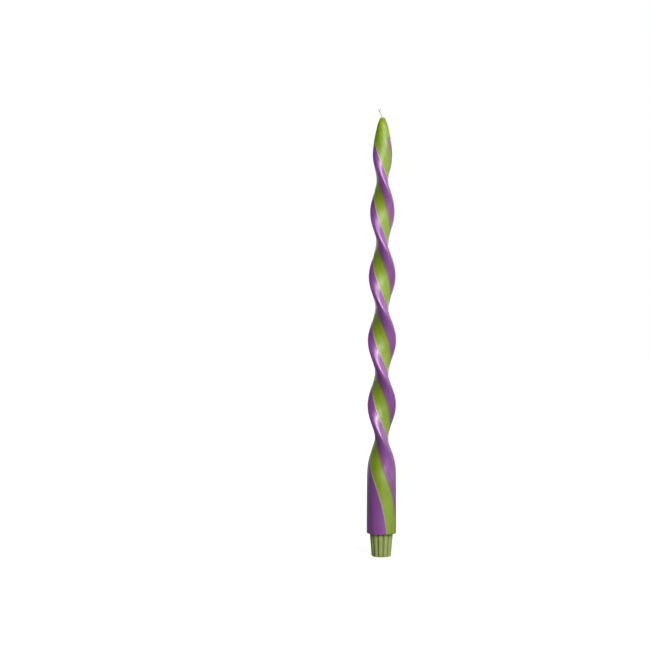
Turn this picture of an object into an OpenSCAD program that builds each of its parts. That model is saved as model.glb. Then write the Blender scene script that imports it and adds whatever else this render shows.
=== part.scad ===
// Spiral dinner candle: a cotton wick, a wax core with a fluted foot, a green wax coat over the core,
// and two purple wax bands let into the coat along its ridges.
// The base is round. Above it the candle is flattened and twisted to the left, up to a pointed nose.
// Origin at the middle of the foot's end, +Z along the wick, the front at -Y, millimetres.

/* [Base and foot] */
// Diameter of the round base
base_d = 22; // [21:0.5:23]
// Height of the ledge at the lower end of the base, which is the height of the foot
foot_h = 17.3; // [15:0.1:20]
// Thickness of the coat round the base, which is the width of the ledge
coat_t = 2.3; // [2:0.1:2.8]
// How much narrower the foot is at its end than at the ledge, on each side
foot_taper = 1.4; // [0.8:0.1:2]
// Number of flutes round the foot
flute_count = 12; // [8:1:14]
// Depth of a flute
flute_depth = 0.7; // [0.4:0.1:0.9]
// Radius of a flute's hollow
flute_r = 1.2; // [0.9:0.1:1.4]
// Angle of the first flute from the X axis
flute_turn = -82; // [-90:1:0]
// Radius of the rounded edge at the foot's end
foot_round = 1; // [0.5:0.1:1.5]
// Radius of the rounded lower edge of the base
ledge_round = 0.5; // [0.2:0.1:0.8]

/* [Twisted shaft] */
// Height of the wax, from the foot's end to the tip
wax_h = 329; // [322:1:336]
// Height where the round base starts to flatten
flat_start_z = 56; // [50:1:62]
// Height where the flattening is complete
flat_end_z = 88; // [80:1:94]
// How far the ridges of the flattened shaft lie inside the base's outline
ridge_inset = 0.3; // [0.1:0.1:1]
// Thickness of the flattened shaft
shaft_t = 10.3; // [9.5:0.1:12]
// Height of half a turn
half_turn_h = 48.5; // [44:0.5:60]
// Height where the ridge of the first band faces the front
front_z = 137.2; // [130:0.1:150]
// Height below which the twist eases off
ease_z = 95; // [88:1:105]
// Share of the twist that is left at the ledge
ease_rest = 0.12; // [0.05:0.01:0.4]
// Height where the shaft starts to taper
taper_z = 165; // [140:1:200]
// Share of the width that the taper takes away at the tip
taper_share = 0.29; // [0.2:0.01:0.35]
// Height where the nose starts
nose_z = 289; // [280:1:295]
// Diameter of the small flat round the wick at the tip
tip_d = 2.8; // [2.4:0.1:3.6]

/* [Purple bands] */
// Half of a band's width, as an angle round the section
band_half_angle = 61; // [50:1:66]
// Height where the bands start to narrow
band_narrow_z = 262; // [250:1:280]
// Half of a narrowed band's width, near its upper end
band_end_angle = 46; // [40:1:55]
// Thickness of a band along its ridge
band_t = 1; // [0.6:0.1:1.2]
// Thickness of a band along its edges
band_edge_t = 0.4; // [0.3:0.05:0.6]
// Height of the upper end of the bands
band_top_z = 314; // [308:0.5:316]
// Length of the rounded upper end of a band
band_end_l = 10; // [6:0.5:12]

/* [Wick] */
// Diameter of the wick
wick_d = 1.6; // [1.2:0.1:2]
// Height of the wick above the tip
wick_h = 6.6; // [5:0.1:10]
// Lean of the wick's free end, to the left
wick_lean = 25; // [5:1:40]
// Radius of the wick's bend
wick_bend_r = 3; // [2:0.5:5]

/* [Hidden] */
$fn = 64;
// Radii of the pieces named above, and the width of the shaft from ridge to ridge
base_r = base_d / 2;
// The swept shaft starts this little inside the turned base, so that no point of it falls on the base's rim
shaft_inset = 0.02;
shaft_start_r = base_r - shaft_inset;
shaft_w = base_d - 2 * ridge_inset;
core_r = base_r - coat_t;
foot_end_r = core_r - foot_taper;
tip_r = tip_d / 2;
wick_r = wick_d / 2;
// The core has the candle's own section, at this share of its size
core_share = core_r / base_r;
// Thickness of the coat over the core's top
core_top_gap = 4;
core_top = wax_h - core_top_gap;
// Rise of the taper and the two powers that shape the nose
taper_power = 1.4;
nose_power = 1.95;
nose_root = 0.665;
// Height where the section starts to turn round again, towards the tip
round_z = 275;
// How far the rounded end of a band runs towards a point before it is cut off square
band_end_cut = 0.86;
// How much narrower a band's floor is than its face, as an angle at each edge
band_draft_angle = 0.5;
// Height between the rings of a swept surface, and of the hidden surface of the core
ring_step = 3.6;
core_ring_step = 6;
base_ring_step = 4.4;
// Rings from the band's end to the tip
tip_rings = 8;
// Straight pieces across a green flank, across a band and round the core
flank_pieces = 6;
band_pieces = 8;
core_pieces = 14;
// How little under the ledge the flutes stop
flute_gap = 0.05;
// Points nearer than this are one point
same_point = 0.00001;
// How far a cutter reaches past the face that it cuts, and the core's sweep into its stem
over = 1;
// How far a band's wedge reaches out past the base before the base trims it
wedge_out = 3;

// The form of the candle, as sizes that follow from the height z

function unit(v) = v / norm(v);
function smooth(u) = let (v = min(max(u, 0), 1)) v * v * (3 - 2 * v);

// Share of the flattening, of the taper and of the nose that is left at height z
function flattened(z) = smooth((z - flat_start_z) / (flat_end_z - flat_start_z));
function taper(z) = 1 - taper_share * pow(max(z - taper_z, 0) / (wax_h - taper_z), taper_power);
function nose(z) = pow(max(1 - pow(max(z - nose_z, 0) / (wax_h - nose_z), nose_power), 0), nose_root);

// A half-size that is the base's in the base, r in the shaft and tip_r at the tip
function half_size(r, z) =
    let (whole = shaft_start_r + (r - shaft_start_r) * flattened(z))
    tip_r + (whole * taper(z) - tip_r) * nose(z);
function half_w(z) = half_size(shaft_w / 2, z);
function half_t(z) =
    let (flat = half_size(shaft_t / 2, z))
    flat + (half_w(z) - flat) * smooth((z - round_z) / (wax_h - round_z));

// Height above front_z, with the twist easing off below ease_z
function twisted_height(z) =
    let (d = max(ease_z - z, 0))
    z - front_z + (1 - ease_rest) * d * d / (2 * (ease_z - foot_h));

// Direction of the first ridge at height z: it faces the front at front_z and turns left-handed
function turn(z) = -90 - twisted_height(z) * 180 / half_turn_h;

// Point of the section at height z and angle t from the first ridge, let in by depth
function section_point(t, z, depth = 0, share = 1) =
    let (
        w = half_w(z) * share,
        h = half_t(z) * share,
        n = [h * cos(t), w * sin(t)],
        p = [w * cos(t), h * sin(t)] - depth * n / norm(n),
        a = turn(z)
    )
    [p.x * cos(a) - p.y * sin(a), p.x * sin(a) + p.y * cos(a), z];

// Half-angle of a band at height z, which narrows towards the tip and is rounded off at its upper end
function band_reach(z) =
    let (
        end_z = band_top_z - band_end_l,
        narrowed = smooth((z - band_narrow_z) / (end_z - band_narrow_z)),
        u = max(z - end_z, 0) / band_end_l * band_end_cut
    )
    (band_half_angle + (band_end_angle - band_half_angle) * narrowed) * sqrt(1 - u * u);

// Half-angle of the coat's columns: above the bands they spread out again
function column_reach(z) =
    let (
        end_reach = band_reach(band_top_z),
        u = smooth((z - band_top_z) / band_end_l)
    )
    z <= band_top_z ? band_reach(z) : end_reach + (band_half_angle - end_reach) * u;

// Depth of a band's floor at share s of its reach, deepest under the ridge
function band_depth(s) = band_edge_t + (band_t - band_edge_t) * (1 - s * s);

// Points across a band, as shares of its reach to each side of its ridge
across = [for (i = [0:band_pieces]) 2 * i / band_pieces - 1];

// Points on the floor of a band, and on the surface over it
function band_floor(middle, z, reach) = [
    for (s = across) section_point(middle + s * (reach - band_draft_angle), z, band_depth(s))
];
function band_face(middle, z, reach) = [for (s = across) section_point(middle + s * reach, z)];

// Points across the green flank that follows the band in the middle of which t is middle
function flank(middle, z, reach) = [
    for (i = [0:flank_pieces])
        let (s = i / flank_pieces)
        section_point((1 - s) * (middle + reach) + s * (middle + 180 - reach), z)
];

// Whole ring of the coat at height z, with the recesses for the bands or, above them, without
function coat_ring(z, recessed) =
    let (
        reach = column_reach(z),
        inner = reach * band_pieces / (band_pieces + 2)
    )
    [
        for (middle = [0, 180])
            each concat(
                recessed ? band_floor(middle, z, reach) : band_face(middle, z, inner),
                flank(middle, z, reach)
            )
    ];

// Ring of a band at height z: its floor, and back along its face
function band_ring(middle, z) =
    let (face = band_face(middle, z, band_reach(z)))
    concat(band_floor(middle, z, band_reach(z)), [for (i = [band_pieces:-1:0]) face[i]]);

// Ring of a wedge that cuts a band out of the base: its sides carry on past the base's surface
function wedge_ring(middle, z) =
    let (
        ground = band_floor(middle, z, band_reach(z)),
        face = band_face(middle, z, band_reach(z))
    )
    concat(ground, [for (i = [band_pieces:-1:0]) face[i] + unit(face[i] - ground[i]) * wedge_out]);

function core_ring(z) = [
    for (i = [0:core_pieces - 1]) section_point(360 * i / core_pieces, z, 0, core_share)
];

// Heights from a to b in even steps no longer than step, without b
function steps(a, b, step) = let (n = ceil((b - a) / step)) [for (i = [0:n - 1]) a + (b - a) * i / n];

base_zs = concat(steps(foot_h - over, flat_start_z, base_ring_step), [flat_start_z]);
band_zs = concat(
    steps(flat_start_z, nose_z, ring_step),
    steps(nose_z, band_top_z, ring_step),
    [band_top_z]
);
tip_zs = [for (i = [1:tip_rings]) band_top_z + (wax_h - band_top_z) * sin(90 * i / tip_rings)];
core_zs = concat(steps(flat_start_z - over, core_top, core_ring_step), [core_top]);

// Faces between rings of n points: two triangles for each piece of each ring but the last
function wall_faces(n, rings) = [
    for (k = [0:rings - 2], i = [0:n - 1])
        let (a = k * n + i, b = k * n + (i + 1) % n)
        each [[a, b, b + n], [a, b + n, a + n]]
];

// Triangles of no size, where two rings meet, are left out
function apart(p, q) = norm(p - q) > same_point;
function real_faces(points, faces) = [
    for (f = faces)
        let (a = points[f[0]], b = points[f[1]], c = points[f[2]])
        if (apart(a, b) && apart(b, c) && apart(c, a)) f
];

// Solid through rings that can each be filled from the axis
module sweep_round_axis(rings) {
    n = len(rings[0]);
    count = len(rings);
    ends = [[0, 0, rings[0][0].z], [0, 0, rings[count - 1][0].z]];
    points = concat([for (r = rings) each r], ends);
    low = count * n;
    bottom = [for (i = [0:n - 1]) [low, (i + 1) % n, i]];
    top = [for (i = [0:n - 1]) [low + 1, low - n + i, low - n + (i + 1) % n]];
    faces = concat(wall_faces(n, count), bottom, top);
    // the rings run anticlockwise, so each face is turned to look clockwise from outside
    polyhedron(points, [for (f = real_faces(points, faces)) [f[2], f[1], f[0]]]);
}

// Solid through the rings of one band, or of its wedge
module sweep_band(rings) {
    n = len(rings[0]);
    count = len(rings);
    points = [for (r = rings) each r];
    high = (count - 1) * n;
    bottom = [
        for (i = [0:band_pieces - 1])
            let (j = n - 1 - i)
            each [[i, j - 1, i + 1], [i, j, j - 1]]
    ];
    top = [for (f = bottom) [high + f[2], high + f[1], high + f[0]]];
    polyhedron(points, concat(wall_faces(n, count), bottom, top));
}

module band_wedge(middle) {
    sweep_band([for (z = base_zs) wedge_ring(middle, z)]);
}

// Quarter of a disc that rounds an outline's lower outer corner, which lies at x and z
module round_corner(x, z, r) {
    translate([x - r, z + r])
        intersection() {
            circle(r);
            translate([0, -r]) square(r);
        }
}

// The round base, with its lower edge rounded
module base_solid() {
    corner = [[base_r - ledge_round, foot_h], [base_r, foot_h + ledge_round]];
    rotate_extrude()
        union() {
            polygon(concat([[0, foot_h]], corner, [[base_r, flat_start_z], [0, flat_start_z]]));
            round_corner(base_r, foot_h, ledge_round);
        }
}

// The twisted stretch of the core, and the round stem under it down to the ledge
module core_stem() {
    translate([0, 0, foot_h - over]) cylinder(r = core_r, h = flat_start_z - foot_h + over);
    sweep_round_axis([for (z = core_zs) core_ring(z)]);
}

// The tapered foot, rounded at its end, and the round stem above it
module foot_and_stem() {
    corner = [[foot_end_r - foot_round, 0], [foot_end_r, foot_round]];
    stem = [[core_r, foot_h], [core_r, flat_start_z], [0, flat_start_z]];
    rotate_extrude()
        union() {
            polygon(concat([[0, 0]], corner, stem));
            round_corner(foot_end_r, 0, foot_round);
        }
}

// The hollow of one flute, which follows the taper of the foot up to the ledge
module flute() {
    lean = atan(foot_taper / (foot_h - foot_round));
    intersection() {
        translate([foot_end_r - flute_depth + flute_r, 0, foot_round])
            rotate([0, lean, 0])
                translate([0, 0, -foot_round - over]) cylinder(r = flute_r, h = foot_h + 2 * over);
        translate([0, 0, -over]) cylinder(r = base_r, h = foot_h - flute_gap + over);
    }
}

// The straight hole that the wick fills
module wick_bore() {
    translate([0, 0, -over]) cylinder(r = wick_r, h = wax_h + 2 * over);
}

module wick() {
    free_l = (wick_h - wick_bend_r * sin(wick_lean)) / cos(wick_lean);
    color("whitesmoke") {
        cylinder(r = wick_r, h = wax_h);
        translate([-wick_bend_r, 0, wax_h]) {
            rotate([90, 0, 0])
                rotate_extrude(angle = wick_lean) translate([wick_bend_r, 0]) circle(wick_r);
            rotate([0, -wick_lean, 0])
                translate([wick_bend_r, 0, 0]) cylinder(r = wick_r, h = free_l);
        }
    }
}

module core() {
    color([0.60, 0.66, 0.42])
        difference() {
            union() {
                foot_and_stem();
                sweep_round_axis([for (z = core_zs) core_ring(z)]);
            }
            for (i = [0:flute_count - 1])
                rotate([0, 0, flute_turn + 360 * i / flute_count]) flute();
            wick_bore();
        }
}

module green_coat() {
    below = [for (z = band_zs) coat_ring(z, true)];
    above = [for (z = concat([band_top_z], tip_zs)) coat_ring(z, false)];
    color([0.52, 0.63, 0.26])
        difference() {
            union() {
                difference() {
                    base_solid();
                    band_wedge(0);
                    band_wedge(180);
                }
                sweep_round_axis(concat(below, above));
            }
            core_stem();
            wick_bore();
        }
}

module purple_band(middle) {
    color([0.47, 0.26, 0.52]) {
        intersection() {
            base_solid();
            band_wedge(middle);
        }
        sweep_band([for (z = band_zs) band_ring(middle, z)]);
    }
}

module purple_band_a() {
    purple_band(0);
}

module purple_band_b() {
    purple_band(180);
}

wick();
core();
green_coat();
purple_band_a();
purple_band_b();
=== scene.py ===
"""Looks of a spiral dinner candle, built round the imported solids.

A fluted core of pale wax, a green wax coat, two purple wax bands along the ridges of the twist
and a plaited cotton wick. Metres, +Z up along the wick, the front at -Y.
"""

import logging
import math
import random
from collections.abc import Callable, Iterator
from dataclasses import dataclass
from enum import Enum
from typing import Any

import bmesh
import bpy
from mathutils import Matrix, Vector


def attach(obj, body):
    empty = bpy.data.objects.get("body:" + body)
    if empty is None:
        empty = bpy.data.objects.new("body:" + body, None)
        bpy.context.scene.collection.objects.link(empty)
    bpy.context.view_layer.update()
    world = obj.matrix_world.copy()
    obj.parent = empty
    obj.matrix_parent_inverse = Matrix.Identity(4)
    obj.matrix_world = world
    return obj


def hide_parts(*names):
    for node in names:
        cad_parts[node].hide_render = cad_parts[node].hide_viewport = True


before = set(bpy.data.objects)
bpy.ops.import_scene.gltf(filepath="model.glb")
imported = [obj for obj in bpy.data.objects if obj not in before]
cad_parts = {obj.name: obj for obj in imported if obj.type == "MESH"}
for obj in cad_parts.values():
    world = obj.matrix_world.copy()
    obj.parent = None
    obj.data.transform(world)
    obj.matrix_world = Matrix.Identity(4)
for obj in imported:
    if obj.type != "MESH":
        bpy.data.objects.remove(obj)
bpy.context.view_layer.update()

LOG = logging.getLogger("candle")
MM = 0.001
# The photograph's frame, in pixels, and the size of a pixel on the candle
FRAME_PX = 650
PIXEL = 0.751 * MM

Span = tuple[float, float]
Tree = bpy.types.NodeTree
Socket = bpy.types.NodeSocket
UNIT: Span = (0.0, 1.0)


class Slot(Enum):
    """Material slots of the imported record."""

    WICK = "cotton_wick"
    CORE = "core_wax"
    GREEN = "green_wax"
    PURPLE = "purple_wax"


def linear(hex_colour: str) -> tuple[float, float, float, float]:
    """Turns an sRGB hex colour to linear RGBA.

    Args:
        hex_colour: Six hex digits, with or without a leading hash.

    Returns:
        The colour as Blender's sockets take it.
    """
    digits = hex_colour.lstrip("#")
    parts = [int(digits[i : i + 2], 16) / 255 for i in (0, 2, 4)]
    r, g, b = (c / 12.92 if c <= 0.04045 else ((c + 0.055) / 1.055) ** 2.4 for c in parts)
    return r, g, b, 1.0


def smooth(u: float) -> float:
    """Eases from 0 to 1 as u goes from 0 to 1."""
    v = min(max(u, 0.0), 1.0)
    return v * v * (3 - 2 * v)


def steps(a: float, b: float, step: float) -> list[float]:
    """Even steps from a to b, without b, no longer than step."""
    n = max(1, math.ceil(abs(b - a) / step))
    return [a + (b - a) * i / n for i in range(n)]


def quarter(step: int) -> list[float]:
    """Angles of a quarter turn, with both ends, in steps of whole degrees."""
    return [math.radians(a) for a in range(0, 91, step)]


def on_circle(r: float, angle: float, z: float) -> Vector:
    """The point at a radius, an angle and a height."""
    return Vector((r * math.cos(angle), r * math.sin(angle), z))


def feed(tree: Tree, node: bpy.types.Node, inputs: dict[Any, Any]) -> None:
    """Sets a node's sockets.

    Args:
        tree: The node's tree.
        node: The node.
        inputs: Values for its sockets, or sockets to link to them, by name or number.
    """
    for name, value in inputs.items():
        if isinstance(value, Socket):
            tree.links.new(value, node.inputs[name])
        else:
            node.inputs[name].default_value = value


def add_node(tree: Tree, kind: str, inputs: dict[Any, Any] | None = None, **settings: Any) -> bpy.types.Node:
    """Adds one node.

    Args:
        tree: The material's or the world's node tree.
        kind: Blender's name for the node.
        inputs: Values for the node's sockets, or sockets to link to them, by name or number.
        settings: The node's own settings.

    Returns:
        The new node.
    """
    node = tree.nodes.new(kind)
    for name, value in settings.items():
        setattr(node, name, value)
    feed(tree, node, inputs or {})
    return node


def calc(tree: Tree, operation: str, first: Any, second: Any) -> Socket:
    """Adds a node that does one sum with two numbers or sockets, and returns the result."""
    return add_node(tree, "ShaderNodeMath", {0: first, 1: second}, operation=operation).outputs[0]


def remap(
    tree: Tree, value: Socket, source: tuple[Any, Any], target: tuple[Any, Any], **settings: Any
) -> Socket:
    """Adds a node that maps one span of values to another and holds it at the ends.

    Args:
        tree: The node tree.
        value: The value.
        source: Ends of the span that is mapped.
        target: What these ends become.
        settings: The node's own settings.

    Returns:
        The mapped value.
    """
    ends = {"From Min": source[0], "From Max": source[1], "To Min": target[0], "To Max": target[1]}
    return add_node(tree, "ShaderNodeMapRange", {"Value": value, **ends}, **settings).outputs["Result"]


def blend(tree: Tree, share: Socket, first: Any, second: Any) -> Socket:
    """Adds a node that mixes two colours.

    Args:
        tree: The node tree.
        share: Share of the second colour.
        first: The first colour.
        second: The second colour.

    Returns:
        The mixed colour.
    """
    colours = {"Factor": share, 6: first, 7: second}
    return add_node(tree, "ShaderNodeMix", colours, data_type="RGBA").outputs[2]


def noise(tree: Tree, place: Socket, size: float, detail: float) -> Socket:
    """Adds a noise pattern.

    Args:
        tree: The node tree.
        place: Coordinates.
        size: Size of the pattern's largest features.
        detail: Number of finer patterns in it.

    Returns:
        The pattern, from 0 to 1.
    """
    inputs = {"Vector": place, "Scale": 1 / size, "Detail": detail}
    return add_node(tree, "ShaderNodeTexNoise", inputs).outputs["Fac"]


def lines(tree: Tree, place: Socket, width: float, length: float, detail: float) -> Socket:
    """Adds a noise pattern that is drawn out along the candle.

    Args:
        tree: The node tree.
        place: Coordinates.
        width: Width of the pattern's lines.
        length: Length of its lines.
        detail: Number of finer patterns in it.

    Returns:
        The pattern, from 0 to 1.
    """
    stretch = (1 / width, 1 / width, 1 / length)
    along = add_node(tree, "ShaderNodeMapping", {"Vector": place, "Scale": stretch})
    return noise(tree, along.outputs["Vector"], 1.0, detail)


def relief(tree: Tree, pattern: Socket, height: float, strength: float, over: Socket | None = None) -> Socket:
    """Adds a fine relief.

    Args:
        tree: The node tree.
        pattern: The relief's pattern, from 0 to 1.
        height: Its height.
        strength: How much of it shows.
        over: A coarser relief that it lies on.

    Returns:
        The normal.
    """
    inputs = {"Height": pattern, "Strength": strength, "Distance": height}
    if over is not None:
        inputs["Normal"] = over
    return add_node(tree, "ShaderNodeBump", inputs).outputs["Normal"]


def new_material(name: str) -> tuple[bpy.types.Material, Tree, bpy.types.Node]:
    """Makes a plain material.

    Args:
        name: Its name.

    Returns:
        The material, its node tree and its shader.
    """
    made = bpy.data.materials.new(name)
    made.use_nodes = True
    return made, made.node_tree, made.node_tree.nodes["Principled BSDF"]


@dataclass(frozen=True)
class Section:
    """The candle's section at one height: an ellipse that is turned about the axis.

    Attributes:
        z: Height.
        w: Half of the width, from ridge to ridge.
        h: Half of the thickness.
        turn: Direction of the first ridge.
        reach: Half-angle of a band.
        over_bands: Height over the bands' upper end.
    """

    z: float
    w: float
    h: float
    turn: float
    reach: float
    over_bands: float

    def flat(self, t: float, rise: float = 0.0, share: float = 1.0) -> Vector:
        """A point of the section before it is turned.

        Args:
            t: Angle round the section from the first ridge.
            rise: Distance above the surface, along its normal.
            share: Share of the section's size, for the core.

        Returns:
            The point.
        """
        c, s = math.cos(t), math.sin(t)
        lift = rise / math.hypot(self.h * c, self.w * s)
        return Vector((c * (self.w * share + self.h * lift), s * (self.h * share + self.w * lift), self.z))

    def point(self, t: float, rise: float = 0.0, share: float = 1.0) -> Vector:
        """A point of the turned section, as in flat."""
        p = self.flat(t, rise, share)
        c, s = math.cos(self.turn), math.sin(self.turn)
        return Vector((p.x * c - p.y * s, p.x * s + p.y * c, p.z))

    def arc(self) -> float:
        """Length of surface for each radian at a band's border."""
        return math.hypot(self.w * math.sin(self.reach), self.h * math.cos(self.reach))

    def from_border(self, t: float) -> float:
        """Distance along the surface from the nearer band's border.

        Args:
            t: Angle round the section from the first ridge.

        Returns:
            The distance, above 0 on the green and below 0 on a band.
        """
        folded = abs((t + math.pi / 2) % math.pi - math.pi / 2)
        across = (folded - self.reach) * self.arc()
        return math.hypot(max(across, 0.0), self.over_bands) if self.over_bands > 0 else across


@dataclass(frozen=True)
class CandleForm:
    """The form of the candle, with the sizes of its solids and the spacing of the skins' rings."""

    base_r: float = 11.0 * MM
    foot_h: float = 17.3 * MM
    core_r: float = 8.7 * MM
    foot_end_r: float = 7.3 * MM
    foot_round: float = 1.0 * MM
    ledge_round: float = 0.5 * MM
    wax_h: float = 329.0 * MM
    flat_start_z: float = 56.0 * MM
    flat_end_z: float = 88.0 * MM
    shaft_w: float = 21.4 * MM
    shaft_t: float = 10.3 * MM
    half_turn_h: float = 48.5 * MM
    front_z: float = 137.2 * MM
    ease_z: float = 95.0 * MM
    ease_rest: float = 0.12
    taper_z: float = 165.0 * MM
    taper_share: float = 0.29
    taper_power: float = 1.4
    nose_z: float = 289.0 * MM
    nose_power: float = 1.95
    nose_root: float = 0.665
    round_z: float = 275.0 * MM
    tip_r: float = 1.4 * MM
    core_top_gap: float = 4.0 * MM
    band_half: float = math.radians(61.0)
    band_narrow_z: float = 262.0 * MM
    band_end_half: float = math.radians(46.0)
    band_t: float = 1.0 * MM
    band_edge_t: float = 0.4 * MM
    band_top_z: float = 314.0 * MM
    band_end_l: float = 10.0 * MM
    # length of the slope at a groove's side, in depths of the groove
    groove_slope: float = 2.2
    wick_h: float = 6.6 * MM
    wick_lean: float = math.radians(25.0)
    wick_bend_r: float = 3.0 * MM
    # a little wider than the solid's bore, so that the plait has room
    bore_r: float = 0.86 * MM
    edge_ring_gap: float = 0.4 * MM
    base_ring_step: float = 2.0 * MM
    shaft_ring_step: float = 1.6 * MM

    def half_size(self, r: float, z: float) -> float:
        """Half-size of the section at height z where the shaft's own is r.

        Args:
            r: Half-size in the flattened shaft.
            z: Height.

        Returns:
            The base's radius in the base, r in the shaft, tapering to the tip's radius.
        """
        flat = smooth((z - self.flat_start_z) / (self.flat_end_z - self.flat_start_z))
        whole = self.base_r + (r - self.base_r) * flat
        rise = max(z - self.taper_z, 0.0) / (self.wax_h - self.taper_z)
        taper = 1 - self.taper_share * rise**self.taper_power
        run = max(z - self.nose_z, 0.0) / (self.wax_h - self.nose_z)
        nose = max(1 - run**self.nose_power, 0.0) ** self.nose_root
        return self.tip_r + (whole * taper - self.tip_r) * nose

    def half_w(self, z: float) -> float:
        """Half of the section's width, from ridge to ridge."""
        return self.half_size(self.shaft_w / 2, z)

    def half_t(self, z: float) -> float:
        """Half of the section's thickness, which turns round again towards the tip."""
        flat = self.half_size(self.shaft_t / 2, z)
        return flat + (self.half_w(z) - flat) * smooth((z - self.round_z) / (self.wax_h - self.round_z))

    def turn(self, z: float) -> float:
        """Direction of the first ridge at height z: left-handed, easing off towards the ledge."""
        d = max(self.ease_z - z, 0.0)
        eased = (1 - self.ease_rest) * d * d / (2 * (self.ease_z - self.foot_h))
        return -math.pi / 2 - (z - self.front_z + eased) * math.pi / self.half_turn_h

    def section(self, z: float) -> Section:
        """The section at height z."""
        over_bands = z - self.band_top_z
        return Section(z, self.half_w(z), self.half_t(z), self.turn(z), self.band_reach(z), over_bands)

    def core_top(self) -> float:
        """Height of the core's upper end, inside the coat."""
        return self.wax_h - self.core_top_gap

    def core_share(self) -> float:
        """Share of the section's size that is core."""
        return self.core_r / self.base_r

    def band_reach(self, z: float) -> float:
        """Half-angle of a band, which narrows towards the tip and is rounded off at its upper end."""
        end_z = self.band_top_z - self.band_end_l
        narrowed = smooth((z - self.band_narrow_z) / (end_z - self.band_narrow_z))
        whole = self.band_half + (self.band_end_half - self.band_half) * narrowed
        u = max(z - end_z, 0.0) / self.band_end_l
        return whole * math.sqrt(max(1 - u * u, 0.0))

    def band_depth(self, s: float) -> float:
        """Depth of a band's floor at share s of its reach, deepest under the ridge."""
        return self.band_edge_t + (self.band_t - self.band_edge_t) * (1 - s * s)

    def corner_drop(self, z: float) -> float:
        """How far the rounded lower edge of the base lies inside the base's surface at height z."""
        lack = max(self.ledge_round - (z - self.foot_h), 0.0)
        return self.ledge_round - math.sqrt(max(self.ledge_round**2 - lack * lack, 0.0))

    def ledge_zs(self) -> list[float]:
        """Heights round the base's lower edge, from the ledge up."""
        return [self.foot_h + self.ledge_round * (1 - math.cos(a)) for a in quarter(15)]

    def shaft_zs(self) -> list[float]:
        """Heights of the rings from above the ledge's rounded edge to the bands' upper end."""
        start_z = self.foot_h + self.ledge_round + self.edge_ring_gap
        base = steps(start_z, self.flat_start_z, self.base_ring_step)
        shaft = steps(self.flat_start_z, self.band_top_z - self.band_end_l, self.shaft_ring_step)
        end = [self.band_top_z - self.band_end_l * (1 - math.sin(a)) for a in quarter(5)[:-1]]
        return base + shaft + end


class Loft:
    """A skin that is extruded ring by ring from one circle."""

    def __init__(self, segments: int) -> None:
        """Makes the first circle.

        Args:
            segments: Number of points round each ring.
        """
        self.bm = bmesh.new()
        self.around = self.bm.verts.layers.float.new("around")
        self.lay = self.bm.verts.layers.float_vector.new("lay")
        self.edge = self.bm.verts.layers.float.new("edge")
        made = bmesh.ops.create_circle(self.bm, cap_ends=False, radius=1.0, segments=segments)
        self.ring = list(made["verts"])
        for v in self.ring:
            v[self.around] = math.atan2(v.co.y, v.co.x)
        self.first = list(self.bm.edges)
        self.edges = self.first
        self.started = False

    def add(
        self, place: Callable[[float], Vector], mark: Callable[[float], tuple[Vector, float]] | None = None
    ) -> None:
        """Extrudes the next ring.

        Args:
            place: Gives the place of the ring's point at an angle.
            mark: Gives the untwisted place and the border distance that the finish reads there.
        """
        if self.started:
            made = bmesh.ops.extrude_edge_only(self.bm, edges=self.edges)["geom"]
            self.ring = [g for g in made if isinstance(g, bmesh.types.BMVert)]
            fresh = set(self.ring)
            edges = [g for g in made if isinstance(g, bmesh.types.BMEdge)]
            self.edges = [e for e in edges if e.verts[0] in fresh and e.verts[1] in fresh]
        self.started = True
        for v in self.ring:
            t = v[self.around]
            v.co = place(t)
            v[self.lay], v[self.edge] = mark(t) if mark else (v.co.copy(), 1.0)

    def close_ends(self) -> None:
        """Fills the first and the last ring with a face each."""
        bmesh.ops.contextual_create(self.bm, geom=self.first)
        bmesh.ops.contextual_create(self.bm, geom=self.edges)

    def close_round(self) -> None:
        """Joins the last ring to the first, for a piece with a bore."""
        bmesh.ops.bridge_loops(self.bm, edges=self.first + self.edges)

    def finish(self, name: str) -> bpy.types.Object:
        """Makes the skin an object.

        Args:
            name: Name of the piece.

        Returns:
            The object, at the origin.
        """
        bmesh.ops.recalc_face_normals(self.bm, faces=self.bm.faces)
        for f in self.bm.faces:
            f.smooth = True
        mesh = bpy.data.meshes.new(name)
        self.bm.to_mesh(mesh)
        self.bm.free()
        piece = bpy.data.objects.new(name, mesh)
        bpy.context.scene.collection.objects.link(piece)
        return piece


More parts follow.
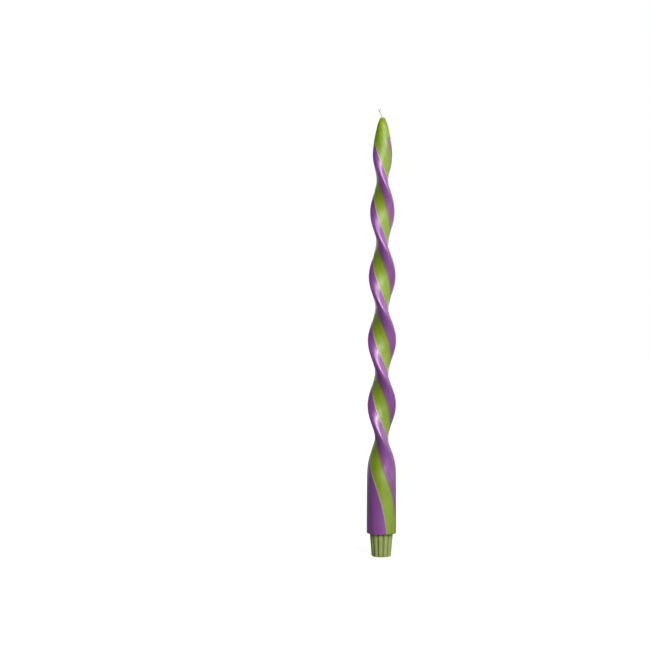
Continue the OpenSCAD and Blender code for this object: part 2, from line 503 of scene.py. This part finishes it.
# Paraffin wax, dipped hot over the core and twisted while soft. The dip leaves a smooth skin with a satin
# gloss, the twist draws the dye out in faint streaks along it, and light goes a little way into the wax, so
# that shadows stay full of colour. Where the two colours meet, one edge carries a painted highlight along its
# lip, and the other a soft blend of both colours, darkened with painted shade.
@dataclass(frozen=True)
class DippedWax:
    """Candle wax, dipped hot and twisted: satin gloss, streaks along the twist, slow waves in its surface."""

    name: str
    body: str
    deep: str
    bloom: str
    # width of the blend of both colours at a band's left-hand edge, which also holds painted shade
    blend_and_shade_width: float
    rough: Span
    specular: float
    scatter: float
    scatter_reach: tuple[float, float, float]
    gloss_tint: str = "ffffff"
    coat: float = 0.0
    coat_rough: float = 0.16
    ior: float = 1.5
    # painted highlight along the lip of a band's right-hand edge: its colour, width and share
    edge_painted_highlight: str = "c2a3ae"
    painted_highlight_width: float = 0.9 * MM
    painted_highlight_share: float = 0.5
    # a blend of both colours, darkened with painted shade, along a band's left-hand edge
    edge_blend_and_painted_shade: str = "7c5a56"
    blend_and_shade_share: float = 0.8
    streak_width: float = 2.2 * MM
    streak_length: float = 26.0 * MM
    streak_span: Span = (0.38, 0.72)
    streak_share: float = 0.6
    mottle_size: float = 8.0 * MM
    bloom_span: Span = (0.42, 0.8)
    bloom_share: float = 0.5
    dull_span: Span = (0.3, 0.75)
    wave_size: float = 7.0 * MM
    wave_height: float = 0.012 * MM
    # real wax has a finer skin than this, which would not show at the photograph's scale
    skin_size: float = 1.1 * MM
    skin_height: float = 0.001 * MM

    def border(self, tree: Tree, lay: Socket) -> tuple[Socket, Socket]:
        """Where the colours meet: a painted highlight along a band's right-hand edge, and along its left-hand
        edge a blend of both colours darkened with painted shade.

        Args:
            tree: The material's node tree.
            lay: The untwisted place.

        Returns:
            The share of the border's colour, and that colour.
        """
        edge = add_node(tree, "ShaderNodeAttribute", attribute_name="edge").outputs["Fac"]
        across = add_node(tree, "ShaderNodeSeparateXYZ", {0: lay}).outputs
        # the right-hand edge gets the painted highlight, the left-hand edge the blend of colours with painted
        # shade
        right = calc(tree, "GREATER_THAN", calc(tree, "MULTIPLY", across["X"], across["Y"]), 0.0)
        width = remap(tree, right, UNIT, (self.blend_and_shade_width, self.painted_highlight_width))
        most = remap(tree, right, UNIT, (self.blend_and_shade_share, self.painted_highlight_share))
        share = remap(tree, edge, (0.0, width), (most, 0.0), interpolation_type="SMOOTHSTEP")
        return share, blend(tree, right, linear(self.edge_blend_and_painted_shade), linear(self.edge_painted_highlight))

    def material(self) -> bpy.types.Material:
        """Builds the wax's material.

        Returns:
            The material.
        """
        made, tree, shader = new_material(self.name)
        place = add_node(tree, "ShaderNodeTexCoord").outputs["Object"]
        lay = add_node(tree, "ShaderNodeAttribute", attribute_name="lay").outputs["Vector"]
        streak = lines(tree, lay, self.streak_width, self.streak_length, detail=1.0)
        mottle = noise(tree, place, self.mottle_size, detail=4.0)
        layers = (
            (remap(tree, streak, self.streak_span, (0.0, self.streak_share)), linear(self.deep)),
            (remap(tree, mottle, self.bloom_span, (0.0, self.bloom_share)), linear(self.bloom)),
            self.border(tree, lay),
        )
        colour: Any = linear(self.body)
        for share, mixed_in in layers:
            colour = blend(tree, share, colour, mixed_in)
        wave = relief(tree, noise(tree, place, self.wave_size, detail=1.0), self.wave_height, strength=1.0)
        skin = noise(tree, place, self.skin_size, detail=2.0)
        inputs = {
            "Base Color": colour,
            "Roughness": remap(tree, mottle, self.dull_span, self.rough),
            "Normal": relief(tree, skin, self.skin_height, strength=1.0, over=wave),
            "IOR": self.ior,
            "Specular IOR Level": self.specular,
            "Specular Tint": linear(self.gloss_tint),
            "Subsurface Weight": self.scatter,
            "Subsurface Radius": self.scatter_reach,
            "Subsurface Scale": 1.0,
            "Coat Weight": self.coat,
            "Coat Roughness": self.coat_rough,
        }
        feed(tree, shader, inputs)
        return made


# Paraffin wax as it came out of a fluted mould, undipped. The mould's wall drags fine lines along the flutes
# and leaves the surface matte, and the lands are rubbed pale by handling. The flutes are darkened with
# painted shade.
@dataclass(frozen=True)
class CastWax:
    """Bare cast wax of the foot: matte, drag lines from the mould, paler where the lands are rubbed, painted
    shade in the flutes.
    """

    name: str = "paraffin_wax_cast_bare"
    body: str = "9aa95e"
    rubbed: str = "afbc7a"
    # colour of the painted shade in the flutes
    groove: str = "67772c"
    groove_painted_shade_share: float = 0.75
    # share of a land's height at which the painted shade in the flutes ends
    groove_painted_shade_top: float = 0.6
    rough: Span = (0.5, 0.66)
    line_width: float = 0.5 * MM
    line_length: float = 9.0 * MM
    grain_size: float = 0.8 * MM
    grain_height: float = 0.02 * MM
    grain_strength: float = 0.6
    ior: float = 1.44
    scatter: float = 0.15
    scatter_reach: tuple[float, float, float] = (0.6 * MM, 0.6 * MM, 0.36 * MM)

    def material(self) -> bpy.types.Material:
        """Builds the bare wax's material.

        Returns:
            The material.
        """
        made, tree, shader = new_material(self.name)
        place = add_node(tree, "ShaderNodeTexCoord").outputs["Object"]
        land = add_node(tree, "ShaderNodeAttribute", attribute_name="edge").outputs["Fac"]
        line = lines(tree, place, self.line_width, self.line_length, detail=3.0)
        grain = noise(tree, place, self.grain_size, detail=4.0)
        # painted shade in the flutes, fading out up the lands
        painted_groove_shade = remap(tree, land, (0.0, self.groove_painted_shade_top), (self.groove_painted_shade_share, 0.0))
        worn = blend(tree, calc(tree, "MULTIPLY", land, line), linear(self.body), linear(self.rubbed))
        lined = relief(tree, line, self.grain_height, self.grain_strength)
        inputs = {
            "Base Color": blend(tree, painted_groove_shade, worn, linear(self.groove)),
            "Roughness": remap(tree, grain, UNIT, self.rough),
            "Normal": relief(tree, grain, self.grain_height, self.grain_strength, over=lined),
            "IOR": self.ior,
            "Subsurface Weight": self.scatter,
            "Subsurface Radius": self.scatter_reach,
            "Subsurface Scale": 1.0,
        }
        feed(tree, shader, inputs)
        return made


# Bleached cotton yarn, plaited and drawn through melted wax. The wax lays the fibres down, so the yarns show
# as a dull off-white plait with fine lines along it and only a few loose fibres at the cut end.
@dataclass(frozen=True)
class WaxedCotton:
    """Bleached cotton yarn, plaited and soaked in wax: off-white, fibrous, dull with a faint sheen."""

    name: str = "cotton_yarn_plaited_waxed"
    body: str = "dcdbdb"
    shade: str = "d0cecc"
    shade_span: Span = (0.4, 0.75)
    rough: Span = (0.55, 0.85)
    sheen: float = 0.2
    fibre_width: float = 0.12 * MM
    fibre_length: float = 1.4 * MM
    fibre_height: float = 0.03 * MM
    fibre_strength: float = 0.5

    def material(self) -> bpy.types.Material:
        """Builds the cotton's material.

        Returns:
            The material.
        """
        made, tree, shader = new_material(self.name)
        place = add_node(tree, "ShaderNodeTexCoord").outputs["Object"]
        fibre = lines(tree, place, self.fibre_width, self.fibre_length, detail=3.0)
        shaded = remap(tree, fibre, self.shade_span, UNIT)
        inputs = {
            "Base Color": blend(tree, shaded, linear(self.body), linear(self.shade)),
            "Roughness": remap(tree, fibre, UNIT, self.rough),
            "Normal": relief(tree, fibre, self.fibre_height, self.fibre_strength),
            "Sheen Weight": self.sheen,
        }
        feed(tree, shader, inputs)
        return made


GREEN_WAX = DippedWax(
    name="paraffin_wax_dipped_green",
    body="88a507",
    deep="708a02",
    bloom="92ab28",
    blend_and_shade_width=2.6 * MM,
    rough=(0.46, 0.54),
    specular=0.85,
    scatter=0.35,
    scatter_reach=(0.5 * MM, 1.0 * MM, 0.2 * MM),
)
PURPLE_WAX = DippedWax(
    name="paraffin_wax_dipped_purple",
    body="8e4e9d",
    deep="763f84",
    bloom="975aa5",
    blend_and_shade_width=0.8 * MM,
    rough=(0.38, 0.44),
    specular=1.0,
    scatter=0.15,
    scatter_reach=(0.7 * MM, 0.2 * MM, 0.7 * MM),
    gloss_tint="ffdafb",
    coat=0.6,
)


def dress(piece: bpy.types.Object, material: bpy.types.Material, slot: Slot, *nodes: str) -> None:
    """Gives a piece its material and its body, and hides the solids that it stands for.

    Args:
        piece: The piece.
        material: Its material.
        slot: The record's slot for its finish. Not used.
        nodes: The CAD nodes that it replaces.
    """
    piece.data.materials.clear()
    piece.data.materials.append(material)
    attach(piece, "root")
    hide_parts(*nodes)
    LOG.info("%s: %d faces, stands for %s", piece.name, len(piece.data.polygons), ", ".join(nodes))


@dataclass
class Coat:
    """The green wax coat over the core, with a groove for each band and a small well round the wick."""

    form: CandleForm
    segments: int = 240
    groove_clear: float = 0.05 * MM
    ledge_inset: float = 1.5 * MM
    tip_round: float = 0.35 * MM
    tip_rings: int = 26
    well_depth: float = 0.25 * MM
    inner_shaft_step: float = 6.0 * MM
    inner_base_step: float = 12.0 * MM

    def groove(self, section: Section, t: float) -> float:
        """Depth of a band's groove, or of the base's rounded lower edge.

        Args:
            section: The candle's section.
            t: Angle round it from the first ridge.

        Returns:
            The depth under the plain surface.
        """
        inside = -section.from_border(t)
        drop = self.form.corner_drop(section.z)
        if inside <= 0:
            return drop
        floor = self.form.band_depth(1 - inside / (section.reach * section.arc())) + self.groove_clear
        fall = smooth(inside / (self.form.groove_slope * floor))
        return max(floor * fall, drop + self.groove_clear * fall)

    def outer_ring(self, loft: Loft, z: float) -> None:
        """Adds a ring of the outer surface at height z."""
        section = self.form.section(z)
        loft.add(
            lambda t: section.point(t, -self.groove(section, t)),
            lambda t: (section.flat(t), max(section.from_border(t), 0.0)),
        )

    def round_ring(self, loft: Loft, r: float, z: float, turned_z: float) -> None:
        """Adds a round ring of radius r at height z, turned as the section at turned_z."""
        turn = self.form.turn(turned_z)
        loft.add(lambda t: on_circle(r, t + turn, z))

    def build(self) -> bpy.types.Object:
        """Extrudes the coat from the ledge up its outside, into the wick's bore and down its inside.

        Returns:
            The coat.
        """
        form = self.form
        loft = Loft(self.segments)
        self.round_ring(loft, form.core_r, form.foot_h, form.foot_h)
        self.round_ring(loft, form.base_r - self.ledge_inset, form.foot_h, form.foot_h)
        for z in form.ledge_zs() + form.shaft_zs():
            self.outer_ring(loft, z)
        rise = form.wax_h - form.band_top_z
        for i in range(self.tip_rings):
            self.outer_ring(loft, form.band_top_z + rise * math.sin(math.radians(90 * i / self.tip_rings)))
        shoulder = form.tip_r - self.tip_round
        for a in quarter(30):
            z = form.wax_h - self.tip_round * (1 - math.sin(a))
            self.round_ring(loft, shoulder + self.tip_round * math.cos(a), z, form.wax_h)
        self.round_ring(loft, (shoulder + form.bore_r) / 2, form.wax_h - self.well_depth, form.wax_h)
        self.round_ring(loft, form.bore_r, form.wax_h - self.well_depth / 2, form.wax_h)
        core_top, share = form.core_top(), form.core_share()
        self.round_ring(loft, form.bore_r, core_top, core_top)
        shaft = steps(core_top, form.flat_start_z, self.inner_shaft_step)
        for z in shaft + steps(form.flat_start_z, form.foot_h, self.inner_base_step):
            section = form.section(z)
            loft.add(lambda t, section=section: section.point(t, 0.0, share))
        loft.close_round()
        return loft.finish("green_wax_coat")


@dataclass
class Band:
    """A purple wax band let into the coat along one ridge, with a low lip where it meets the green."""

    form: CandleForm
    name: str
    node: str
    middle: float
    face_points: int = 44
    # how much the points crowd towards the borders, where the lip is
    crowding: float = 1.6
    floor_sink: float = 0.03 * MM
    corner_sink: float = 0.04 * MM
    # distance from the border and height over the coat's surface, across the lip
    lip: tuple[Span, ...] = (
        (0.0, -0.03 * MM),
        (0.15 * MM, 0.02 * MM),
        (0.3 * MM, 0.05 * MM),
        (0.45 * MM, 0.065 * MM),
        (0.65 * MM, 0.065 * MM),
        (0.9 * MM, 0.04 * MM),
        (1.3 * MM, 0.015 * MM),
    )

    def across(self) -> list[tuple[float, bool]]:
        """The band's cross-section as a closed path: share of its reach, and whether it is on the face."""
        n = self.face_points
        face = [(2 * i / n - 1, True) for i in range(n + 1)]
        floor = [(1 - 2 * i / n, False) for i in range(1, n)]
        return face + floor

    def rise(self, inside: float) -> float:
        """Height of the face over the coat's surface at a distance inside the border."""
        last_d, last_h = self.lip[-1]
        if inside >= last_d:
            return last_h * math.exp(-(inside - last_d) / last_d)
        (d0, h0), (d1, h1) = next(pair for pair in zip(self.lip, self.lip[1:]) if inside <= pair[1][0])
        return h0 + (h1 - h0) * smooth((inside - d0) / (d1 - d0))

    def place(self, section: Section, s: float, on_face: bool) -> tuple[Vector, Vector, float]:
        """A point of the band.

        Args:
            section: The candle's section at the point's height.
            s: Share of the band's reach, from -1 to 1, before the points are crowded.
            on_face: Whether the point is on the face, or else on the floor.

        Returns:
            The point, its untwisted place and its distance from the border.
        """
        form = self.form
        spread = math.copysign(1 - (1 - abs(s)) ** self.crowding, s)
        t = self.middle + spread * section.reach
        inside = (1 - abs(spread)) * section.reach * section.arc()
        drop = form.corner_drop(section.z)
        if on_face:
            height = self.rise(inside) - drop
        else:
            floor = form.band_depth(spread)
            depth = floor * smooth(inside / (form.groove_slope * floor))
            height = -max(depth + self.floor_sink, drop + self.corner_sink)
        return section.point(t, height), section.flat(t), inside

    def build(self) -> bpy.types.Object:
        """Extrudes the band from the ledge to its rounded upper end.

        Returns:
            The band.
        """
        path = self.across()
        count = len(path)
        loft = Loft(count)

        def ring(z: float) -> None:
            """Adds the ring at height z."""
            section = self.form.section(z)
            spots = [self.place(section, s, on_face) for s, on_face in path]

            def spot(t: float) -> tuple[Vector, Vector, float]:
                """The point of the path that stands at angle t of the first circle."""
                return spots[round(t / (2 * math.pi) * count) % count]

            loft.add(lambda t: spot(t)[0], lambda t: spot(t)[1:])

        for z in self.form.ledge_zs() + self.form.shaft_zs():
            ring(z)
        loft.close_ends()
        return loft.finish(self.name)


@dataclass
class Core:
    """The pale wax core: a fluted, tapered foot, and a plain twisted length inside the coat."""

    form: CandleForm
    flute_count: int = 12
    flute_depth: float = 0.7 * MM
    flute_r: float = 1.2 * MM
    flute_turn: float = math.radians(-82.0)
    land_round: float = 0.12 * MM
    points_per_flute: int = 24
    end_shares: tuple[float, ...] = (0.4, 0.7, 0.9)
    foot_ring_gap: float = 0.6 * MM
    foot_ring_step: float = 0.9 * MM
    shaft_ring_step: float = 6.0 * MM
    bore_ring_step: float = 48.0 * MM

    def wall(self, z: float) -> float:
        """Radius of the foot's lands at height z."""
        form = self.form
        if z >= form.foot_round:
            rise = (z - form.foot_round) / (form.foot_h - form.foot_round)
            return form.foot_end_r + (form.core_r - form.foot_end_r) * rise
        lack = form.foot_round - z
        return form.foot_end_r - form.foot_round + math.sqrt(max(form.foot_round**2 - lack * lack, 0.0))

    def fluted(self, theta: float, z: float) -> tuple[float, float]:
        """Radius of the fluted foot.

        Args:
            theta: Direction from the axis.
            z: Height.

        Returns:
            The radius, and the share of a land's height that is left there.
        """
        land = self.wall(z)
        outline = land if z >= self.form.foot_round else self.wall(self.form.foot_round)
        pitch = 2 * math.pi / self.flute_count
        phi = (theta - self.flute_turn + pitch / 2) % pitch - pitch / 2
        centre = outline - self.flute_depth + self.flute_r
        under = self.flute_r**2 - (centre * math.sin(phi)) ** 2
        hollow = centre * math.cos(phi) - math.sqrt(under) if under > 0 else outline + self.flute_r
        gap = hollow - land
        soft = self.land_round
        if gap > soft:
            r = land
        elif gap < -soft:
            r = hollow
        else:
            r = land - (soft - gap) ** 2 / (4 * soft)
        return r, 1 - min(max((land - r) / self.flute_depth, 0.0), 1.0)

    def build(self) -> bpy.types.Object:
        """Extrudes the core from its end face up its outside and down the wick's bore.

        Returns:
            The core.
        """
        form = self.form
        loft = Loft(self.flute_count * self.points_per_flute)

        def disc(r: float, z: float) -> None:
            """Adds a plain ring."""
            loft.add(lambda t: on_circle(r, t, z))

        def foot(z: float, share: float = 1.0) -> None:
            """Adds a fluted ring, or one of the end face at a share of its radius."""

            def at(t: float) -> Vector:
                """Place of the ring's point at angle t."""
                return on_circle(self.fluted(t, z)[0] * share, t, z)

            loft.add(at, lambda t: (at(t), self.fluted(t, z)[1]))

        disc(form.bore_r, 0.0)
        for share in self.end_shares:
            foot(0.0, share)
        for a in quarter(18):
            foot(form.foot_round * (1 - math.cos(a)))
        foot_start = form.foot_round + self.foot_ring_gap
        for z in steps(foot_start, form.foot_h, self.foot_ring_step) + [form.foot_h]:
            foot(z)
        disc(form.core_r, form.foot_h)
        disc(form.core_r, form.flat_start_z)
        start = form.turn(form.flat_start_z)
        core_top, share = form.core_top(), form.core_share()
        for z in steps(form.flat_start_z + self.shaft_ring_step, core_top, self.shaft_ring_step) + [core_top]:
            section = form.section(z)
            loft.add(lambda t, section=section: section.point(t - start, 0.0, share))
        turned = form.turn(core_top) - start
        for z in [core_top] + steps(core_top - self.shaft_ring_step, 0.0, self.bore_ring_step):
            loft.add(lambda t, z=z: on_circle(form.bore_r, t + turned, z))
        loft.close_round()
        return loft.finish("fluted_wax_core")


@dataclass
class Wick:
    """The cotton wick: a plait of three yarns through the whole candle, bent over at its free end."""

    form: CandleForm
    yarns: int = 3
    yarn_r: float = 0.46 * MM
    yarn_facets: int = 2
    sway: float = 0.26 * MM
    cross: float = 0.17 * MM
    pitch: float = 3.8 * MM
    step: float = 0.3 * MM
    recess: float = 0.3 * MM
    # how far the yarns end short, in yarn radii: the first one, and each next one more
    cut_short: Span = (0.2, 0.6)
    fibres: int = 16
    fibre_r: float = 0.045 * MM
    fibre_l: Span = (0.5 * MM, 1.3 * MM)
    fibre_tilt: float = 0.3
    fibre_bend: float = 0.45
    fibre_points: tuple[float, ...] = (0.0, 0.35, 0.7, 1.0)
    seed: int = 7

    def along(self, s: float) -> tuple[Vector, Vector]:
        """The wick's centre line.

        Args:
            s: Length from the foot's end.

        Returns:
            The point, and the direction there.
        """
        form = self.form
        if s <= form.wax_h:
            return Vector((0.0, 0.0, s)), Vector((0.0, 0.0, 1.0))
        r = form.wick_bend_r
        bend = min((s - form.wax_h) / r, form.wick_lean)
        point = Vector((r * (math.cos(bend) - 1), 0.0, form.wax_h + r * math.sin(bend)))
        ahead = Vector((-math.sin(bend), 0.0, math.cos(bend)))
        return point + ahead * max(s - form.wax_h - r * form.wick_lean, 0.0), ahead

    def length(self) -> float:
        """Length of the wick along its line."""
        form = self.form
        bent = form.wick_bend_r * math.sin(form.wick_lean)
        straight = (form.wick_h - bent) / math.cos(form.wick_lean)
        return form.wax_h + form.wick_bend_r * form.wick_lean + straight

    def yarn(self, k: int) -> Iterator[Vector]:
        """Points along the middle of one yarn of the plait."""
        first, more = self.cut_short
        end = self.length() - self.yarn_r * (first + more * k)
        for s in steps(self.recess, end, self.step) + [end]:
            point, ahead = self.along(s)
            side = Vector((0.0, 1.0, 0.0)).cross(ahead)
            phase = 2 * math.pi * (s / self.pitch + k / self.yarns)
            depth = Vector((0.0, self.cross * math.sin(2 * phase), 0.0))
            yield point + side * self.sway * math.sin(phase) + depth

    def frayed(self) -> Iterator[list[Vector]]:
        """Loose fibres at the cut end."""
        draw = random.Random(self.seed)
        point, ahead = self.along(self.length() - self.yarn_r)
        for _ in range(self.fibres):
            x, y = draw.uniform(-1, 1), draw.uniform(-1, 1)
            out = Vector((x, y, draw.uniform(-self.fibre_tilt, self.fibre_tilt)))
            root = point + out * self.sway - ahead * self.yarn_r
            reach = draw.uniform(*self.fibre_l)
            bend = out * reach * self.fibre_bend
            yield [root + ahead * reach * u + bend * u * u for u in self.fibre_points]

    def build(self) -> bpy.types.Object:
        """Sweeps the yarns and the loose fibres, and makes them one mesh.

        Returns:
            The wick.
        """
        paths = [(list(self.yarn(k)), 1.0) for k in range(self.yarns)]
        paths += [(path, self.fibre_r / self.yarn_r) for path in self.frayed()]
        curve = bpy.data.curves.new("wick_yarns", "CURVE")
        curve.dimensions = "3D"
        curve.bevel_depth = self.yarn_r
        curve.bevel_resolution = self.yarn_facets
        curve.use_fill_caps = True
        for path, thickness in paths:
            spline = curve.splines.new("POLY")
            spline.points.add(len(path) - 1)
            for p, place in zip(spline.points, path):
                p.co = (*place, 1.0)
                p.radius = thickness
        swept = bpy.data.objects.new("wick_yarns", curve)
        bpy.context.scene.collection.objects.link(swept)
        mesh = bpy.data.meshes.new_from_object(swept.evaluated_get(bpy.context.evaluated_depsgraph_get()))
        bpy.data.objects.remove(swept)
        bpy.data.curves.remove(curve)
        mesh.name = "plaited_cotton_wick"
        mesh.polygons.foreach_set("use_smooth", [True] * len(mesh.polygons))
        piece = bpy.data.objects.new("plaited_cotton_wick", mesh)
        bpy.context.scene.collection.objects.link(piece)
        return piece


@dataclass(frozen=True)
class Lamp:
    """A rectangular soft light that faces the candle.

    Attributes:
        name: Name of the lamp.
        azimuth: Degrees from the front, to the right.
        elevation: Degrees above the candle's middle.
        distance: Metres from there.
        width: Metres.
        height: Metres.
        power: Watts.
        in_gloss: Whether glossy surfaces mirror it.
        in_diffuse: Whether it gives surfaces their plain light.
    """

    name: str
    azimuth: float
    elevation: float
    distance: float
    width: float
    height: float
    power: float
    in_gloss: bool = True
    in_diffuse: bool = True

    def place(self, target: Vector) -> None:
        """Sets the lamp up.

        Args:
            target: The point that it faces.
        """
        data = bpy.data.lights.new(self.name, "AREA")
        data.shape = "RECTANGLE"
        data.size, data.size_y = self.width, self.height
        data.energy = self.power
        a, e = math.radians(self.azimuth), math.radians(self.elevation)
        away = Vector((math.sin(a) * math.cos(e), -math.cos(a) * math.cos(e), math.sin(e)))
        lamp = bpy.data.objects.new(self.name, data)
        lamp.location = target + away * self.distance
        lamp.rotation_euler = away.to_track_quat("Z", "Y").to_euler()
        lamp.visible_camera = False
        lamp.visible_glossy = self.in_gloss
        lamp.visible_diffuse = self.in_diffuse
        bpy.context.scene.collection.objects.link(lamp)


@dataclass
class Studio:
    """A white floor and surround, soft lamps and the camera at the photograph's place."""

    centre_z: float = 173.3 * MM
    camera_x: float = -42.8 * MM
    distance: float = 1.0
    sensor_mm: float = 36.0
    roll: float = math.radians(0.18)
    ambient: float = 0.02
    floor_size: float = 12.0
    floor_white: str = "929292"
    floor_rough: float = 0.9
    floor_specular: float = 0.1
    floor_drop: float = 0.1 * MM
    # brightness of the floor as the camera sees it, near the candle and far from it, and where it changes
    floor_glow: Span = (0.86, 1.0)
    glow_reach: Span = (0.2, 0.6)
    # where the part behind the candle starts and is full: Y of a direction, and metres along the floor
    behind_way: Span = (0.3, 0.9)
    behind_floor: Span = (0.3, 0.8)
    lamps: tuple[Lamp, ...] = (
        Lamp("key_softbox", 22, 27, 0.95, 0.9, 0.8, 7.2),
        Lamp("key_middle", 22, 22, 0.95, 0.28, 0.45, 4.3),
        Lamp("side_softbox", 90, 10, 0.9, 0.8, 0.9, 3.2, in_diffuse=False),
        Lamp("back_fill", 176, 15, 1.0, 1.2, 0.7, 5.4),
        Lamp("left_fill", -108, 25, 1.0, 1.0, 0.8, 0.5, in_gloss=False),
    )

    def camera(self) -> None:
        """Makes the camera."""
        data = bpy.data.cameras.new("camera")
        data.sensor_width = self.sensor_mm
        data.lens = data.sensor_width * self.distance / (FRAME_PX * PIXEL)
        camera = bpy.data.objects.new("camera", data)
        level = Matrix.Rotation(math.pi / 2, 4, "X") @ Matrix.Rotation(self.roll, 4, "Z")
        camera.matrix_world = Matrix.Translation((self.camera_x, -self.distance, self.centre_z)) @ level
        bpy.context.scene.collection.objects.link(camera)
        bpy.context.scene.camera = camera

    def white_seen(self, tree: Tree, place: Socket, behind: Span) -> Socket:
        """Where the studio is plain white: for the camera, and for gloss and glass that look past the candle.

        Args:
            tree: Node tree of the world or the floor.
            place: Direction in the world, or place on the floor.
            behind: Where along Y the part behind the candle starts, and where it is full.

        Returns:
            1 where white is seen, 0 where the lamps alone light the studio.
        """
        rays = add_node(tree, "ShaderNodeLightPath").outputs
        away = add_node(tree, "ShaderNodeSeparateXYZ", {0: place}).outputs["Y"]
        through = calc(tree, "MAXIMUM", rays["Is Glossy Ray"], rays["Is Transmission Ray"])
        mirrored = calc(tree, "MULTIPLY", through, remap(tree, away, behind, UNIT))
        return calc(tree, "MAXIMUM", rays["Is Camera Ray"], mirrored)

    def surround(self) -> None:
        """Lights the scene evenly and weakly, and shows a white backdrop as wide as the picture."""
        world = bpy.data.worlds.new("studio")
        world.use_nodes = True
        tree = world.node_tree
        tree.nodes.clear()
        way = add_node(tree, "ShaderNodeTexCoord").outputs["Generated"]
        level = remap(tree, self.white_seen(tree, way, self.behind_way), UNIT, (self.ambient, 1.0))
        light = add_node(tree, "ShaderNodeBackground", {"Color": linear("ffffff"), "Strength": level})
        add_node(tree, "ShaderNodeOutputWorld", {"Surface": light.outputs["Background"]})
        bpy.context.scene.world = world

    def floor(self) -> None:
        """Makes the pale floor, which keeps the candle's shadow."""
        bm = bmesh.new()
        bmesh.ops.create_grid(bm, x_segments=1, y_segments=1, size=self.floor_size / 2)
        bmesh.ops.translate(bm, vec=(0.0, 0.0, -self.floor_drop), verts=bm.verts)
        mesh = bpy.data.meshes.new("floor")
        bm.to_mesh(mesh)
        bm.free()
        made, tree, shader = new_material("matte_white_floor")
        place = add_node(tree, "ShaderNodeTexCoord").outputs["Object"]
        far = add_node(tree, "ShaderNodeVectorMath", {0: place}, operation="LENGTH").outputs["Value"]
        glow = remap(tree, far, self.glow_reach, self.floor_glow)
        seen = self.white_seen(tree, place, self.behind_floor)
        inputs = {
            "Base Color": linear(self.floor_white),
            "Roughness": self.floor_rough,
            "Specular IOR Level": self.floor_specular,
            "Emission Color": linear("ffffff"),
            "Emission Strength": calc(tree, "MULTIPLY", seen, glow),
        }
        feed(tree, shader, inputs)
        mesh.materials.append(made)
        floor = bpy.data.objects.new("floor", mesh)
        bpy.context.scene.collection.objects.link(floor)

    def set_up(self) -> None:
        """Makes the camera, the lamps, the surround and the floor."""
        bpy.context.scene.view_settings.view_transform = "Standard"
        self.camera()
        self.surround()
        self.floor()
        for lamp in self.lamps:
            lamp.place(Vector((0.0, 0.0, self.centre_z)))


def main() -> None:
    """Builds the candle piece by piece and sets up the studio."""
    logging.basicConfig(level=logging.INFO, format="%(message)s")
    Studio().set_up()
    form = CandleForm()
    dress(Core(form).build(), CastWax().material(), Slot.CORE, "core")
    dress(Coat(form).build(), GREEN_WAX.material(), Slot.GREEN, "green_coat")
    purple = PURPLE_WAX.material()
    for letter, middle in (("a", 0.0), ("b", math.pi)):
        band = Band(form, f"purple_wax_band_{letter}", f"purple_band_{letter}", middle)
        dress(band.build(), purple, Slot.PURPLE, band.node)
    dress(Wick(form).build(), WaxedCotton().material(), Slot.WICK, "wick")


if __name__ == "__main__":
    main()
